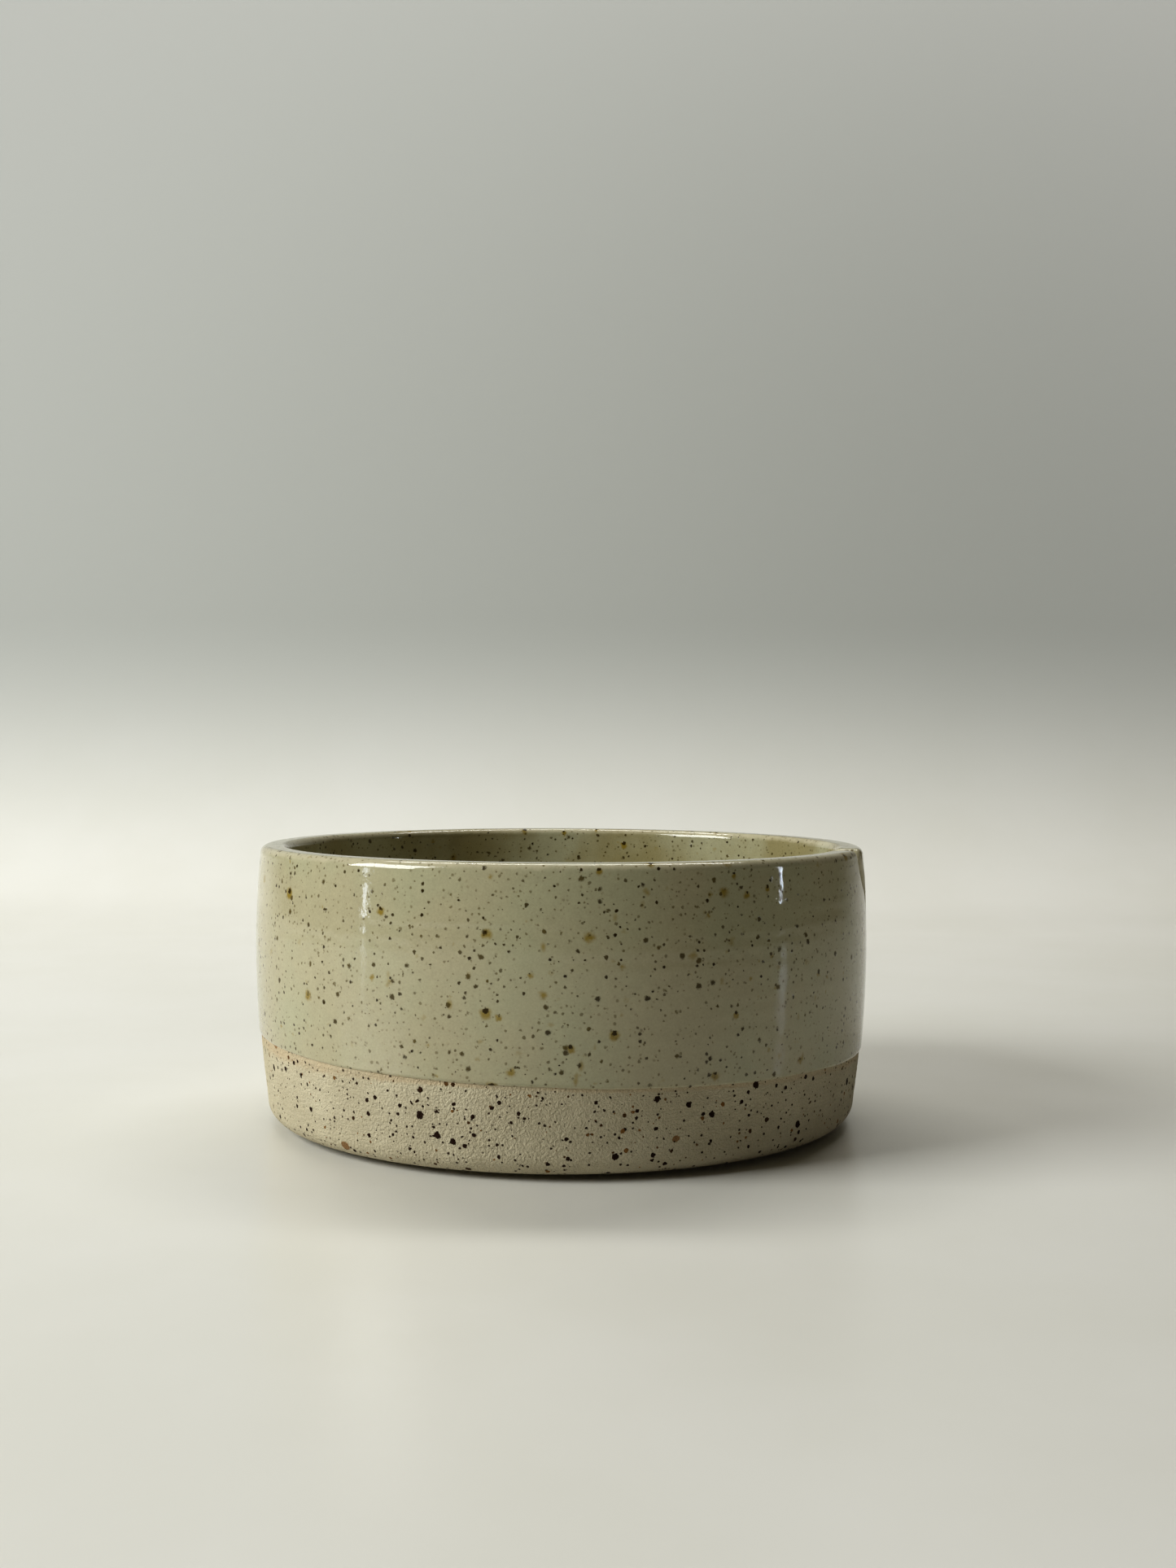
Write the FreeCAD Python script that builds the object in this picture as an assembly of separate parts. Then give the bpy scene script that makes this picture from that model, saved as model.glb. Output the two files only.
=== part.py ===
import FreeCAD, Part
import math
import os

# Yarn bowl: a low, straight-sided stoneware drum with a hooked yarn slot cut through its wall.
# The fired clay is one piece. Three glaze coats are fused to it: the poured liner inside, the dipped
# coat outside, and the coat on the cut faces of the slot. Below the dip line the clay is bare.
# Millimetres and degrees. +Z is up, the origin is on the table under the middle of the bowl, and +X
# goes out through the middle of the slot. The hook of the slot opens towards +Y.

# Driving dimensions
BELLY_RADIUS = 75.0        # widest outside radius, over the glaze
HEIGHT = 67.4              # table to the top of the rim, over the glaze
RIM_WALL = 6.6             # wall thickness at the rim, over both glaze coats
COAT = 0.4                 # thickness of every glaze coat
DIP_HEIGHT = 20.6          # height of the dip line at the bowl's axis
DIP_TILT = 1.35            # lean of the dip line
DIP_HIGH_SIDE = 185.0      # direction, from +X, in which the dip line is highest
SLOT_WIDTH = 5.0           # clear width of the slot, glaze to glaze
EYE_RADIUS = 4.7           # clear radius of the round eye that ends the hook
SLOT_START = -15.4         # Y of the slot's middle line where it crosses the rim
MOUTH_ROUND = 2.0          # rounding of the two corners where the slot opens through the rim
NECK_ROUND = 2.9           # rounding of the two corners where the slot widens into the eye

# Outside profile of the clay
CLAY_BELLY = BELLY_RADIUS - COAT
CLAY_TOP = HEIGHT - COAT
BELLY_HEIGHT = 48.0        # height of the widest circle
RIDGE_RADIUS = 74.15       # the soft ridge where the trimmed lower cone begins
RIDGE_HEIGHT = 27.0
CONE_RADIUS = 73.25        # halfway down the trimmed cone, which bows out a little
CONE_HEIGHT = 15.5
CORNER_RADIUS = 72.0       # where the cone rolls under into the base
CORNER_HEIGHT = 5.6
ROLL_RADIUS = 70.4         # halfway round the rolled corner
ROLL_HEIGHT = 2.5
UNDER_RADIUS = 66.5        # where the rolled corner meets the underside
UNDER_HEIGHT = 1.2
RIM_RADIUS = 74.0 - COAT   # outside radius of the clay just below the rounded lip
LIP_ROUND = 0.9            # rounding of both edges of the lip

# Foot ring and recess under the base
FOOT_OUTER = 63.0
FOOT_WIDTH = 6.5
FOOT_SLOPE = 0.8           # how far the ring's sides lean in over their height
RECESS_DEPTH = 1.5

# Inside profile of the clay
BORE_RADIUS = RIM_RADIUS + COAT - RIM_WALL + COAT
CREST_RADIUS = (RIM_RADIUS + BORE_RADIUS) / 2
INNER_LOW_RADIUS = 66.5    # inside radius where the wall meets the rounded corner
INNER_LOW_HEIGHT = 25.0
INNER_CORNER_RADIUS = 61.1 # halfway round the rounded corner
INNER_CORNER_HEIGHT = 12.5
FLOOR_RADIUS = 48.0        # where the rounded corner meets the floor
FLOOR_HEIGHT = 7.4
FLOOR_DISH = 0.5           # the floor's middle is this much lower

# Middle line of the slot: arcs as (radius, direction at the arc's end). A direction is measured in the
# plane seen from outside, with +Y to the right and +Z up. An arc turns left, or right if its radius is negative.
SLOT_FIRST_DIRECTION = -84.0
SLOT_ARCS = [(9.0, -34.0), (-16.0, -75.0), (13.0, 10.0), (8.0, 110.0)]

# Reach of the cutting tools
CUT_INNER_X = 50.0
CUT_OUTER_X = 85.0
CUT_ABOVE = 8.0


def at(radius, height):
    """A point of the turned profile, in the XZ plane."""
    return FreeCAD.Vector(radius, 0, height)


def on_wall(y, z):
    """A point of the slot's outline, in the plane at the slot tool's inner end."""
    return FreeCAD.Vector(CUT_INNER_X, y, z)


def line(start, end):
    return Part.LineSegment(start, end).toShape()


def arc(start, middle, end):
    return Part.Arc(start, middle, end).toShape()


def curve(start, middle, end):
    """A slight bow through three points. A spline, because an arc this flat turns into a degenerate torus."""
    spline = Part.BSplineCurve()
    spline.interpolate([start, middle, end])
    return spline.toShape()


def quarter(centre_radius, centre_height, radius, first, last):
    """An arc of the profile about a centre, between two directions in degrees."""
    points = []
    for angle in (first, (first + last) / 2, last):
        turn = math.radians(angle)
        points.append(at(centre_radius + radius * math.cos(turn), centre_height + radius * math.sin(turn)))
    return arc(*points)


def outer_side(skin):
    """The profile from the top of the base corner up to the crest of the rim, moved out by skin."""
    lip_height = CLAY_TOP - LIP_ROUND
    corner = at(CORNER_RADIUS + skin, CORNER_HEIGHT)
    cone = at(CONE_RADIUS + skin, CONE_HEIGHT)
    ridge = at(RIDGE_RADIUS + skin, RIDGE_HEIGHT)
    belly = at(CLAY_BELLY + skin, BELLY_HEIGHT)
    lip_start = at(RIM_RADIUS + skin, lip_height)
    return [
        curve(corner, cone, ridge),
        curve(ridge, belly, lip_start),
        quarter(RIM_RADIUS - LIP_ROUND, lip_height, LIP_ROUND + skin, 0, 90),
        line(at(RIM_RADIUS - LIP_ROUND, CLAY_TOP + skin), at(CREST_RADIUS, CLAY_TOP + skin)),
    ]


def inner_side(skin):
    """The profile from the crest of the rim down the inside to the middle of the floor, moved in by skin."""
    lip_height = CLAY_TOP - LIP_ROUND
    wall_foot = at(INNER_LOW_RADIUS - skin, INNER_LOW_HEIGHT)
    corner_slant = skin * math.sqrt(0.5)
    corner = at(INNER_CORNER_RADIUS - corner_slant, INNER_CORNER_HEIGHT + corner_slant)
    floor_edge = at(FLOOR_RADIUS, FLOOR_HEIGHT + skin)
    return [
        line(at(CREST_RADIUS, CLAY_TOP + skin), at(BORE_RADIUS + LIP_ROUND, CLAY_TOP + skin)),
        quarter(BORE_RADIUS + LIP_ROUND, lip_height, LIP_ROUND + skin, 90, 180),
        line(at(BORE_RADIUS - skin, lip_height), wall_foot),
        arc(wall_foot, corner, floor_edge),
        line(floor_edge, at(0, FLOOR_HEIGHT - FLOOR_DISH + skin)),
    ]


def underside(skin):
    """The profile from the axis out under the base, over the foot ring, to the top of the base corner."""
    foot_inner = FOOT_OUTER - FOOT_WIDTH
    points = [
        at(0, FLOOR_HEIGHT - FLOOR_DISH + skin),
        at(0, RECESS_DEPTH),
        at(foot_inner - FOOT_SLOPE, RECESS_DEPTH),
        at(foot_inner, 0),
        at(FOOT_OUTER, 0),
        at(FOOT_OUTER + FOOT_SLOPE, UNDER_HEIGHT),
        at(UNDER_RADIUS, UNDER_HEIGHT),
    ]
    edges = [line(start, end) for start, end in zip(points, points[1:])]
    roll_end = at(CORNER_RADIUS, CORNER_HEIGHT)
    edges.append(arc(points[-1], at(ROLL_RADIUS, ROLL_HEIGHT), roll_end))
    if skin:
        edges.append(line(roll_end, at(CORNER_RADIUS + skin, CORNER_HEIGHT)))
    return edges


def turned(edges):
    """The solid that a closed half section sweeps about the bowl's axis."""
    face = Part.Face(Part.Wire(Part.__sortEdges__(edges)))
    return face.revolve(FreeCAD.Vector(0, 0, 0), FreeCAD.Vector(0, 0, 1), 360)


def vessel(skin):
    """The uncut vessel: the clay alone with no skin, or the clay and its coats above the base corner."""
    return turned(outer_side(skin) + inner_side(skin) + underside(skin))


def turned_coat(side):
    """The coat of glaze on one side of the wall, between the clay's profile and the coated one."""
    clay_edges = side(0)
    coat_edges = side(COAT)
    ends = [
        line(clay_edges[0].firstVertex().Point, coat_edges[0].firstVertex().Point),
        line(clay_edges[-1].lastVertex().Point, coat_edges[-1].lastVertex().Point),
    ]
    return turned(clay_edges + coat_edges + ends)


def slot_middle_line():
    """The circles that the slot's middle line follows, as (centre Y, centre Z, radius), and where it ends."""
    y, z = SLOT_START, HEIGHT
    direction = math.radians(SLOT_FIRST_DIRECTION)
    circles = []
    for radius, last in SLOT_ARCS:
        centre_y = y - radius * math.sin(direction)
        centre_z = z + radius * math.cos(direction)
        circles.append((centre_y, centre_z, radius))
        direction = math.radians(last)
        y = centre_y + radius * math.sin(direction)
        z = centre_z - radius * math.cos(direction)
    return circles, (y, z)


def mouth_centre(first_circle, reach):
    """Centre of the rounding of a rim corner, which is at that distance from the first bend's centre."""
    centre_y, centre_z, _ = first_circle
    corner_z = HEIGHT - MOUTH_ROUND
    return centre_y - math.sqrt(reach ** 2 - (corner_z - centre_z) ** 2), corner_z


def neck_centre(bend, bend_reach, eye, eye_reach, side):
    """Where two circles about the last bend and the eye cross, on the side of the line between them."""
    along_y, along_z = eye[0] - bend[0], eye[1] - bend[1]
    distance = math.hypot(along_y, along_z)
    forward = (bend_reach ** 2 - eye_reach ** 2 + distance ** 2) / (2 * distance)
    sideways = side * math.sqrt(bend_reach ** 2 - forward ** 2)
    unit_y, unit_z = along_y / distance, along_z / distance
    return bend[0] + forward * unit_y - sideways * unit_z, bend[1] + forward * unit_z + sideways * unit_y


def bend_edge(circle, half, side):
    """The circle that one edge of the slot follows along a bend of its middle line."""
    centre_y, centre_z, radius = circle
    edge_radius = radius + side * half
    return centre_y, centre_z, abs(edge_radius), side if edge_radius > 0 else -side


def slot_circles():
    """The circles that the slot's edge follows, from one rim corner round the eye to the other.
    Each is (centre Y, centre Z, radius, side): side is 1 where the open slot lies inside the circle, and -1
    where the clay does."""
    half = SLOT_WIDTH / 2
    circles, eye = slot_middle_line()
    first, last = circles[0], circles[-1]
    outer_mouth = mouth_centre(first, first[2] + half + MOUTH_ROUND)
    inner_mouth = mouth_centre(first, first[2] - half - MOUTH_ROUND)
    eye_reach = EYE_RADIUS + NECK_ROUND
    outer_neck = neck_centre(last, last[2] + half + NECK_ROUND, eye, eye_reach, -1)
    inner_neck = neck_centre(last, last[2] - half - NECK_ROUND, eye, eye_reach, -1)
    chain = [(*outer_mouth, MOUTH_ROUND, -1)]
    chain += [bend_edge(circle, half, 1) for circle in circles]
    chain += [(*outer_neck, NECK_ROUND, -1), (*eye, EYE_RADIUS, 1), (*inner_neck, NECK_ROUND, -1)]
    chain += [bend_edge(circle, half, -1) for circle in reversed(circles)]
    chain += [(*inner_mouth, MOUTH_ROUND, -1)]
    return chain


def touching_point(one, other):
    """Where two neighbouring circles of the slot's edge touch."""
    if one[3] != other[3]:
        share = one[2] / (one[2] + other[2])
        return one[0] + (other[0] - one[0]) * share, one[1] + (other[1] - one[1]) * share
    big, small = (one, other) if one[2] > other[2] else (other, one)
    stretch = big[2] / math.hypot(small[0] - big[0], small[1] - big[1])
    return big[0] + (small[0] - big[0]) * stretch, big[1] + (small[1] - big[1]) * stretch


def edge_arc(circle, start, end):
    """The arc of the slot's edge along one circle, which turns left round open slot and right round clay."""
    centre_y, centre_z, radius, side = circle
    first = math.atan2(start[1] - centre_z, start[0] - centre_y)
    sweep = side * (math.atan2(end[1] - centre_z, end[0] - centre_y) - first)
    middle = first + side * (sweep % (2 * math.pi)) / 2
    middle_point = on_wall(centre_y + radius * math.cos(middle), centre_z + radius * math.sin(middle))
    return arc(on_wall(*start), middle_point, on_wall(*end))


def slot_tool(grow):
    """The slot and its eye as a cutting tool along X, wider than the clear slot by grow on every side."""
    circles = [(y, z, radius + side * grow, side) for y, z, radius, side in slot_circles()]
    joints = [touching_point(one, other) for one, other in zip(circles, circles[1:])]
    rim_start = (circles[0][0], circles[0][1] + circles[0][2])
    rim_end = (circles[-1][0], circles[-1][1] + circles[-1][2])
    stops = [rim_start] + joints + [rim_end]
    edges = [edge_arc(circle, start, end) for circle, start, end in zip(circles, stops, stops[1:])]
    above_end = on_wall(rim_end[0], HEIGHT + CUT_ABOVE)
    above_start = on_wall(rim_start[0], HEIGHT + CUT_ABOVE)
    corners = [on_wall(*rim_end), above_end, above_start, on_wall(*rim_start)]
    edges += [line(start, end) for start, end in zip(corners, corners[1:])]
    return Part.Face(Part.Wire(edges)).extrude(FreeCAD.Vector(CUT_OUTER_X - CUT_INNER_X, 0, 0))


def above_dip_line():
    """Everything above the leaning dip line."""
    block = Part.makeBox(200, 200, 100, FreeCAD.Vector(-100, -100, 0))
    tilt_axis = FreeCAD.Vector(-math.sin(math.radians(DIP_HIGH_SIDE)), math.cos(math.radians(DIP_HIGH_SIDE)), 0)
    block.rotate(FreeCAD.Vector(0, 0, 0), tilt_axis, -DIP_TILT)
    block.translate(FreeCAD.Vector(0, 0, DIP_HEIGHT))
    return block


def single_solid(shape, name):
    """The one solid of a boolean result; anything else is a fault in the geometry."""
    if len(shape.Solids) != 1:
        raise RuntimeError(name + " is " + str(len(shape.Solids)) + " solids")
    return shape.Solids[0]


def build():
    """Every sub-part, by node name."""
    wide_slot = slot_tool(COAT)
    clear_slot = slot_tool(0)
    return {
        "clay_body": vessel(0).cut(wide_slot),
        "liner_glaze": turned_coat(inner_side).cut(wide_slot),
        "outer_glaze": turned_coat(outer_side).common(above_dip_line()).cut(wide_slot),
        "slot_glaze": vessel(COAT).common(wide_slot).cut(clear_slot),
    }


os.makedirs("parts", exist_ok=True)
for node, shape in build().items():
    solid = single_solid(shape, node)
    solid.exportStep("parts/" + node + ".step")
    print(node, "volume", round(solid.Volume), "mm3", "valid", solid.isValid(), solid.BoundBox)
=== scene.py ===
import math

import bpy
import numpy as np
from mathutils import Euler, Matrix, Vector
from mathutils.geometry import delaunay_2d_cdt


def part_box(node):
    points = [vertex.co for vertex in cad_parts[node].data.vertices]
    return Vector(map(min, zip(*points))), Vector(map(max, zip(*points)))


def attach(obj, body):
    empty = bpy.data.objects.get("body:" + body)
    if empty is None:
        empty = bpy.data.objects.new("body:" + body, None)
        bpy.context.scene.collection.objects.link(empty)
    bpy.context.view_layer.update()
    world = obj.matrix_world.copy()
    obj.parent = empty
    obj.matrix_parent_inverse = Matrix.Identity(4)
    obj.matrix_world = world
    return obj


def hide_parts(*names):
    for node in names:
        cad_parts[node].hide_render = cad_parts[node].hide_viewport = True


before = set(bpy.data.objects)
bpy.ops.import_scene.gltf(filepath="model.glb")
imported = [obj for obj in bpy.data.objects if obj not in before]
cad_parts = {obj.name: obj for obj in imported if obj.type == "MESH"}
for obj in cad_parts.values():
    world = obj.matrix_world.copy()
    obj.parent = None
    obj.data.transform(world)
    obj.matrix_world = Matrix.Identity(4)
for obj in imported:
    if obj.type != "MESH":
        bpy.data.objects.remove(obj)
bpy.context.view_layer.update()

# Sizes are in millimetres and angles in degrees until a mesh is made; MM turns them into metres.
MM = 0.001

# ---------------------------------------------------------------- sizes of the bowl
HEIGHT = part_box("outer_glaze")[1].z / MM     # table to rim, over the glaze
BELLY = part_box("outer_glaze")[1].y / MM      # widest outside radius, over the glaze
COAT = 0.4                                   # thickness of the glaze
RIM_WALL = 6.6                               # wall at the rim, over both coats
LIP_ROUND = 1.7                              # rounding of the lip's two edges, over the glaze
CLAY_BELLY = BELLY - COAT
BELLY_HEIGHT = 48.0
RIDGE = (27.0, CLAY_BELLY - 0.45)            # height and radius where the trimmed cone begins
CONE = (15.5, CLAY_BELLY - 1.35)
CORNER = (5.6, CLAY_BELLY - 2.6)
ROLL = (2.5, CLAY_BELLY - 4.2)
UNDER = (1.2, CLAY_BELLY - 8.1)
RIM_RADIUS = CLAY_BELLY - 1.0
LIP_HEIGHT = HEIGHT - LIP_ROUND
BORE_RADIUS = RIM_RADIUS + 2 * COAT - RIM_WALL
INNER_LOW = (25.0, 66.5)
INNER_CORNER = (12.5, 61.1)
FLOOR_EDGE = (7.4, 48.0)
FLOOR_MIDDLE = 6.9
FOOT_OUTER = 63.0
FOOT_WIDTH = 6.5
FOOT_SLOPE = 0.8
RECESS_DEPTH = 1.5

# The dip line leans, and is highest on the side opposite the slot
DIP_HEIGHT = 20.6
DIP_TILT = 1.35
DIP_HIGH_SIDE = 185.0
DIP_WAVER = 0.22                             # how far the hand-held line strays up and down
GLAZE_EDGE = 0.9                             # length over which the coat thins out at the line
EDGE_SKIN = 0.015                            # what is left of the coat at its very edge

# The slot's middle line, in the plane seen from outside, and its roundings
SLOT_WIDTH = 5.0
SLOT_START = -15.4
SLOT_FIRST_DIRECTION = -84.0
SLOT_ARCS = [(9.0, -34.0), (-16.0, -75.0), (13.0, 10.0), (8.0, 110.0)]
EYE_RADIUS = 4.7
MOUTH_ROUND = 2.0
NECK_ROUND = 2.9
SLOT_LIP = 1.3                               # rounding of the slot's edges across the wall

# ---------------------------------------------------------------- fineness of the meshes
COLUMN = 1.0                                 # spacing of columns round the wall
ROW = 0.6                                    # spacing of rows up the wall
EDGE_STEP = 0.6                              # spacing of stations along the slot's edge
PATCH_HALF = 32.0                            # the irregular mesh at the slot reaches this far each side
PATCH_BOTTOM = 32.0                          # and down to this height
PATCH_STEP = 0.9
BAND_RIM = 2.2                               # depth of the band of mesh along the rim
BAND_SLOT = 1.75                             # and along the slot
BLEND = 8.0                                  # length over which one band becomes the other
WRAP = 2 * math.pi * 71.0                    # length of the unrolled wall


# ---------------------------------------------------------------- profile
def through(z, low, middle, high):
    """The slight bow through three (height, radius) points."""
    (a, ra), (b, rb), (c, rc) = low, middle, high
    return (
        ra * (z - b) * (z - c) / ((a - b) * (a - c))
        + rb * (z - a) * (z - c) / ((b - a) * (b - c))
        + rc * (z - a) * (z - b) / ((c - a) * (c - b))
    )


def clay_outside(z):
    """Outside radius of the clay at a height above the base corner."""
    if z < RIDGE[0]:
        return through(z, CORNER, CONE, RIDGE)
    return through(z, RIDGE, (BELLY_HEIGHT, CLAY_BELLY), (LIP_HEIGHT, RIM_RADIUS))


def clay_inside(z):
    """Inside radius of the clay's straight wall."""
    share = (z - INNER_LOW[0]) / (LIP_HEIGHT - INNER_LOW[0])
    return INNER_LOW[1] + (BORE_RADIUS - INNER_LOW[1]) * share


def circle_through(a, b, c):
    """Centre and radius of the circle through three points."""
    matrix = 2 * np.array([[b[0] - a[0], b[1] - a[1]], [c[0] - a[0], c[1] - a[1]]])
    right = np.array([
        b[0] ** 2 - a[0] ** 2 + b[1] ** 2 - a[1] ** 2,
        c[0] ** 2 - a[0] ** 2 + c[1] ** 2 - a[1] ** 2,
    ])
    centre = np.linalg.solve(matrix, right)
    return centre, math.hypot(a[0] - centre[0], a[1] - centre[1])


def arc_points(a, b, c, grow, steps):
    """(radius, height) points along the arc through three points, with its radius changed by grow."""
    centre, radius = circle_through(a, b, c)
    first = math.atan2(a[1] - centre[1], a[0] - centre[0])
    last = math.atan2(c[1] - centre[1], c[0] - centre[0])
    turn = (last - first + math.pi) % (2 * math.pi) - math.pi
    angles = first + turn * np.linspace(0, 1, steps + 1)
    reach = radius + grow
    return [(centre[0] + reach * math.cos(t), centre[1] + reach * math.sin(t)) for t in angles]


def flip(point):
    """(height, radius) to (radius, height)."""
    return point[1], point[0]


def rounded_corners(points, radius, steps):
    """A path of straight runs with each inner corner rounded off."""
    path = [points[0]]
    for before, corner, after in zip(points, points[1:], points[2:]):
        here = np.array(corner, float)
        back = np.array(before, float) - here
        ahead = np.array(after, float) - here
        cut = min(radius, 0.45 * np.linalg.norm(back), 0.45 * np.linalg.norm(ahead))
        start = here + back / np.linalg.norm(back) * cut
        end = here + ahead / np.linalg.norm(ahead) * cut
        for share in np.linspace(0, 1, steps + 1):
            rest = 1 - share
            path.append(tuple(rest ** 2 * start + 2 * share * rest * here + share ** 2 * end))
    path.append(points[-1])
    return path


def filled_in(path, step):
    """The path with points added so that no run is longer than step."""
    out = [path[0]]
    for a, b in zip(path, path[1:]):
        count = max(1, math.ceil(math.dist(a, b) / step))
        along = (b[0] - a[0], b[1] - a[1])
        for i in range(1, count + 1):
            out.append((a[0] + along[0] * i / count, a[1] + along[1] * i / count))
    return out


# ---------------------------------------------------------------- outline of the slot
def middle_circles():
    """The circles that the slot's middle line follows, as (y, z, radius), and where it ends."""
    y, z = SLOT_START, HEIGHT
    direction = math.radians(SLOT_FIRST_DIRECTION)
    circles = []
    for radius, last in SLOT_ARCS:
        centre = (y - radius * math.sin(direction), z + radius * math.cos(direction))
        circles.append((*centre, radius))
        direction = math.radians(last)
        y = centre[0] + radius * math.sin(direction)
        z = centre[1] - radius * math.cos(direction)
    return circles, (y, z)


def mouth_centre(circle, reach):
    """Centre of the rounding between the rim and the slot's edge, this far from the first bend's."""
    corner_z = HEIGHT - MOUTH_ROUND
    return circle[0] - math.sqrt(reach ** 2 - (corner_z - circle[1]) ** 2), corner_z


def neck_centre(bend, bend_reach, eye, eye_reach):
    """Where circles about the last bend and the eye cross, on the mouth's side."""
    along = np.array(eye) - np.array(bend[:2])
    distance = np.linalg.norm(along)
    unit = along / distance
    forward = (bend_reach ** 2 - eye_reach ** 2 + distance ** 2) / (2 * distance)
    sideways = math.sqrt(bend_reach ** 2 - forward ** 2)
    y = bend[0] + forward * unit[0] + sideways * unit[1]
    z = bend[1] + forward * unit[1] - sideways * unit[0]
    return y, z


def bend_edge(circle, half, side):
    """The circle that one edge of the slot follows along a bend. A negative radius bends to the right."""
    edge_radius = circle[2] + side * half
    return circle[0], circle[1], abs(edge_radius), side if edge_radius > 0 else -side


def edge_circles():
    """Circles along the slot's edge as (y, z, radius, side): side 1 round open slot, -1 round clay."""
    half = SLOT_WIDTH / 2
    circles, eye = middle_circles()
    first, last = circles[0], circles[-1]
    outer_mouth = mouth_centre(first, first[2] + half + MOUTH_ROUND)
    inner_mouth = mouth_centre(first, first[2] - half - MOUTH_ROUND)
    outer_neck = neck_centre(last, last[2] + half + NECK_ROUND, eye, EYE_RADIUS + NECK_ROUND)
    inner_neck = neck_centre(last, last[2] - half - NECK_ROUND, eye, EYE_RADIUS + NECK_ROUND)
    return (
        [(*outer_mouth, MOUTH_ROUND, -1)]
        + [bend_edge(circle, half, 1) for circle in circles]
        + [(*outer_neck, NECK_ROUND, -1), (*eye, EYE_RADIUS, 1), (*inner_neck, NECK_ROUND, -1)]
        + [bend_edge(circle, half, -1) for circle in reversed(circles)]
        + [(*inner_mouth, MOUTH_ROUND, -1)]
    )


def touching_point(one, other):
    """Where two circles that follow each other along the edge touch."""
    if one[3] != other[3]:
        share = one[2] / (one[2] + other[2])
        return one[0] + (other[0] - one[0]) * share, one[1] + (other[1] - one[1]) * share
    big, small = (one, other) if one[2] > other[2] else (other, one)
    stretch = big[2] / math.dist(small[:2], big[:2])
    return big[0] + (small[0] - big[0]) * stretch, big[1] + (small[1] - big[1]) * stretch


def slot_stations():
    """Points along the slot's edge as (y, z, normal y, normal z). The normals point into the clay."""
    circles = edge_circles()
    joints = [touching_point(one, other) for one, other in zip(circles, circles[1:])]
    stops = [(circles[0][0], HEIGHT)] + joints + [(circles[-1][0], HEIGHT)]
    stations = []
    for (y, z, radius, side), start, end in zip(circles, stops, stops[1:]):
        first = math.atan2(start[1] - z, start[0] - y)
        sweep = side * ((side * (math.atan2(end[1] - z, end[0] - y) - first)) % (2 * math.pi))
        count = max(3, math.ceil(abs(sweep) * radius / EDGE_STEP))
        for i in range(count):
            turn = first + sweep * i / count
            out = (math.cos(turn), math.sin(turn))
            stations.append((y + radius * out[0], z + radius * out[1], side * out[0], side * out[1]))
    last = stops[-1]
    stations.append((last[0], last[1], 0.0, -1.0))
    return stations


# ---------------------------------------------------------------- hand-made unevenness
def wave_set(seed, count, low, high):
    """Seeded sine waves as (waves round the bowl, waves per millimetre of height, phase, share)."""
    rng = np.random.default_rng(seed)
    rounds = rng.integers(-3, 4, count)
    pitches = np.exp(rng.uniform(math.log(low), math.log(high), count))
    phases = rng.uniform(0, 2 * math.pi, count)
    shares = rng.uniform(0.5, 1.0, count)
    return list(zip(rounds, 1 / pitches, phases, shares / shares.sum()))


def ripple(waves, theta, height):
    """Sum of the waves, between -1 and 1."""
    total = np.zeros(np.broadcast(theta, height).shape)
    for rounds, rate, phase, share in waves:
        total = total + share * np.sin(rounds * theta + 2 * math.pi * rate * height + phase)
    return total


OUTSIDE_RINGS = wave_set(3, 7, 3.0, 9.0)
CONE_RINGS = wave_set(5, 9, 0.9, 3.2)
INSIDE_RINGS = wave_set(8, 6, 5.0, 9.0)
SLOW_DENTS = wave_set(13, 8, 45.0, 160.0)
RIM_WAVES = wave_set(21, 6, 1e6, 1e7)
SPIRAL_PITCH = 8.5                           # the potter's finger mark over the floor
SPIRAL_DEPTH = 0.045
DENT_DEPTH = 0.16                            # half of what the slow dents take off the outside
RING_DEPTH = 0.045                           # the same for the throwing rings on it
TRIM_DEPTH = 0.05                            # and for the trimming rings on the bare cone
INNER_DENT_DEPTH = 0.12
INNER_RING_DEPTH = 0.11
RIM_DROP = 0.22                              # half of the rim's greatest dip


def smooth(low, high, value):
    share = np.clip((value - low) / (high - low), 0, 1)
    return share * share * (3 - 2 * share)


def outside_shift(theta, z):
    """How far the outside stands in from its turned profile."""
    dents = DENT_DEPTH * (1 + ripple(SLOW_DENTS, 2 * theta, z))
    rings = RING_DEPTH * (1 + ripple(OUTSIDE_RINGS, theta, z)) * smooth(24, 30, z)
    trimmed = TRIM_DEPTH * (1 + ripple(CONE_RINGS, theta, z)) * smooth(30, 24, z)
    return -(dents + rings + trimmed)


def inside_shift(theta, z):
    """How far the inside wall stands out from its turned profile, into the clay."""
    dents = -INNER_DENT_DEPTH * (1 + ripple(SLOW_DENTS, 2 * theta, z))
    return dents + INNER_RING_DEPTH * ripple(INSIDE_RINGS, theta, z) * smooth(66, 58, z)


def rim_drop(theta, z):
    """How far the rim dips below its full height, fading out down the wall."""
    return -RIM_DROP * (1 + ripple(RIM_WAVES, theta, 0 * z)) * smooth(40, HEIGHT, z)


def dip_line(theta):
    """Height of the dip line round the bowl."""
    lean = math.tan(math.radians(DIP_TILT)) * BELLY
    rng = np.random.default_rng(55)
    waver = np.zeros_like(theta)
    for rounds in range(3, 22):
        strength = rng.uniform(-1, 1) / rounds ** 0.6
        waver = waver + strength * np.sin(rounds * theta + rng.uniform(0, 2 * math.pi))
    return DIP_HEIGHT + lean * np.cos(theta - math.radians(DIP_HIGH_SIDE)) + DIP_WAVER * waver


def toasted_width(theta):
    """Width of the toasted band under the dip line. It is widest where the line is highest."""
    lean = np.cos(theta - math.radians(DIP_HIGH_SIDE))
    return 0.9 + 2.3 * smooth(0.2, 0.95, lean) + 0.8 * smooth(0.3, 0.95, -lean)


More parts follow.
